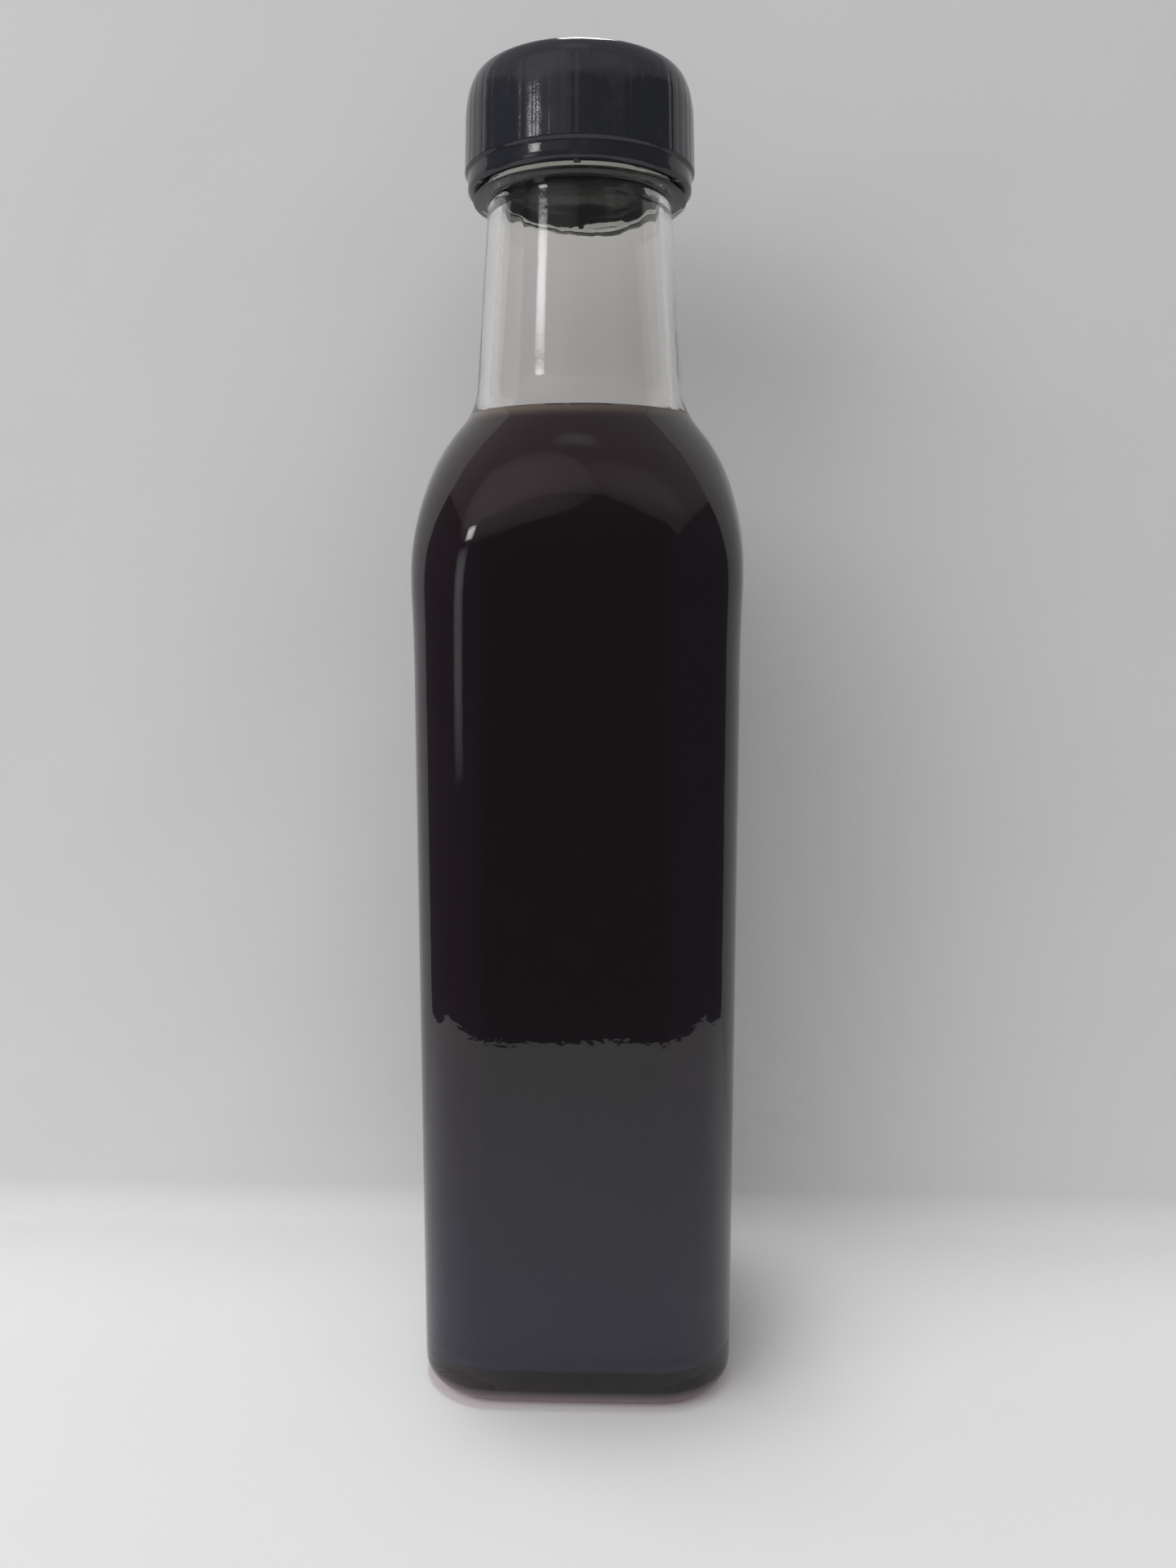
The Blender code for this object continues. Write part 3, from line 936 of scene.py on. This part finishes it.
def make_paper():
    """Matt paper with a faint tooth and soft creases, seen from its front only."""
    material, tree, shader, position = start_material(
        "matt_paper", {"Roughness": 0.9, "Specular IOR Level": 0.1}
    )
    link = tree.links.new
    clouds = put_node(tree, "ShaderNodeTexNoise", None, {"Scale": 14.0, "Detail": 4.0})
    link(position, clouds.inputs["Vector"])
    colour = mix_colours(tree, clouds.outputs["Fac"], PAPER, PAPER_SHADED)
    link(colour, shader.inputs["Base Color"])
    tooth = add_group(
        tree,
        SURFACE_RIPPLES,
        position,
        {"Broad Scale": 22.0, "Fine Scale": 900.0, "Fine Share": 0.03},
    )
    add_bump(tree, tooth.outputs["Height"], 0.0012, shader)
    gone = put_node(tree, "ShaderNodeBsdfTransparent")
    path = put_node(tree, "ShaderNodeLightPath")
    behind = put_node(tree, "ShaderNodeNewGeometry")
    both = put_node(tree, "ShaderNodeMath", {"operation": "MULTIPLY"})
    mixed = put_node(tree, "ShaderNodeMixShader")
    link(path.outputs["Is Camera Ray"], both.inputs[0])
    link(behind.outputs["Backfacing"], both.inputs[1])
    link(both.outputs[0], mixed.inputs["Fac"])
    link(shader.outputs["BSDF"], mixed.inputs[1])
    link(gone.outputs["BSDF"], mixed.inputs[2])
    link(mixed.outputs["Shader"], tree.nodes["Material Output"].inputs["Surface"])
    return material


paper = lay_paper()
paper.data.materials.append(make_paper())


def towards(azimuth, elevation, distance):
    """A place seen from the bottle: azimuth from -Y towards +X, then elevation, in degrees."""
    turn, rise = math.radians(azimuth), math.radians(elevation)
    return Vector(
        (
            distance * math.cos(rise) * math.sin(turn),
            -distance * math.cos(rise) * math.cos(turn),
            AIM_HEIGHT + distance * math.sin(rise),
        )
    )


def soften(data, softness):
    """Lets a light fade from its middle to its edges, as a lit wall does."""
    data.use_nodes = True
    tree = data.node_tree
    place = put_node(tree, "ShaderNodeNewGeometry")
    split = put_node(tree, "ShaderNodeSeparateXYZ")
    tree.links.new(place.outputs["Parametric"], split.inputs[0])
    arches = []
    for axis in ("X", "Y"):
        rest = put_node(tree, "ShaderNodeMath", {"operation": "SUBTRACT"}, {0: 1.0})
        arch = put_node(tree, "ShaderNodeMath", {"operation": "MULTIPLY"})
        tree.links.new(split.outputs[axis], rest.inputs[1])
        tree.links.new(split.outputs[axis], arch.inputs[0])
        tree.links.new(rest.outputs[0], arch.inputs[1])
        arches.append(arch)
    both = put_node(tree, "ShaderNodeMath", {"operation": "MULTIPLY"})
    full = put_node(tree, "ShaderNodeMath", {"operation": "MULTIPLY"}, {1: MIDDLE_TO_FULL})
    faded = put_node(tree, "ShaderNodeMath", {"operation": "POWER"}, {1: softness})
    tree.links.new(arches[0].outputs[0], both.inputs[0])
    tree.links.new(arches[1].outputs[0], both.inputs[1])
    tree.links.new(both.outputs[0], full.inputs[0])
    tree.links.new(full.outputs[0], faded.inputs[0])
    tree.links.new(faded.outputs[0], tree.nodes["Emission"].inputs["Strength"])


def hang_light(name, azimuth, elevation, distance, width, height, power, tint, seen_in, softness):
    """A soft light that faces the bottle, rectangular at first, for gloss or for shading."""
    data = bpy.data.lights.new(name, "AREA")
    data.shape = "RECTANGLE"
    data.size, data.size_y = width, height
    data.energy = power
    data.color = tint
    soften(data, softness)
    light = bpy.data.objects.new(name, data)
    bpy.context.scene.collection.objects.link(light)
    light.location = towards(azimuth, elevation, distance)
    aim = Vector((0, 0, AIM_HEIGHT)) - light.location
    light.rotation_euler = aim.to_track_quat("-Z", "Y").to_euler()
    light.visible_camera = False
    light.visible_glossy = "gloss" in seen_in
    light.visible_transmission = False
    light.visible_diffuse = "shade" in seen_in
    return light


# A light's azimuth, elevation, distance, width, height, power, tint, use and softness.
hang_light("window_gleam", -43, 24.9, 1.0, 0.20, 0.130, 0.76, WHITE, "gloss", 0.6)
hang_light("window_streak", -47, 5.0, 1.02, 0.26, 0.48, 0.42, WHITE, "gloss", 0.6)
side_wall = hang_light("side_wall_gleam", -32, 38, 1.1, 1.22, 0.78, 0.98, ROSY, "gloss", 0.6)
side_wall.data.shape = "ELLIPSE"
far_wall = hang_light("far_wall_gleam", 31, 44, 1.1, 1.18, 0.36, 0.19, ROSY, "gloss", 0.8)
far_wall.data.shape = "ELLIPSE"
hang_light("ceiling_gleam", -4, 88, 1.1, 3.2, 3.2, 9.0, ROSY, "gloss", 0.15)
hang_light("lamp_gleam", -4, 66, 1.05, 0.40, 0.24, 0.10, WHITE, "gloss", 1.0)
hang_light("back_gleam", 178, 68, 1.2, 0.34, 0.60, 6.5, WHITE, "gloss", 0.15)
hang_light("window_glow", -52, 16, 1.0, 0.70, 0.60, 0.87, WHITE, "shade", 0.05)
hang_light("sky_glow", -50, 35, 1.0, 0.70, 0.60, 2.8, WHITE, "shade", 0.05)
hang_light("overhead_glow", -115, 85.3, 1.3, 0.26, 0.26, 7.8, WHITE, "shade", 0.05)
hang_light("front_glow", 0, 40, 1.0, 0.9, 0.6, 0.98, WHITE, "shade", 0.05)

world = bpy.data.worlds.new("room")
world.use_nodes = True
room = world.node_tree
path = put_node(room, "ShaderNodeLightPath")
shaded = mix_colours(room, path.outputs["Is Glossy Ray"], ROOM_FOR_SHADE, ROOM_FOR_GLOSS)
air = put_node(room, "ShaderNodeMix", {"data_type": "RGBA"}, {7: ROOM_THROUGH_GLASS})
room.links.new(path.outputs["Is Transmission Ray"], air.inputs[0])
room.links.new(shaded, air.inputs[6])
room.links.new(air.outputs[2], room.nodes["Background"].inputs["Color"])
bpy.context.scene.world = world
bpy.context.scene.view_settings.view_transform = "Standard"

camera_data = bpy.data.cameras.new("camera")
camera_data.lens = CAMERA_LENS
camera_data.sensor_width = 36.0
camera_data.clip_start = 0.01
camera = bpy.data.objects.new("camera", camera_data)
bpy.context.scene.collection.objects.link(camera)
camera.location = CAMERA_PLACE
camera.rotation_euler = (CAMERA_TILT, 0.0, CAMERA_TURN)
bpy.context.scene.camera = camera
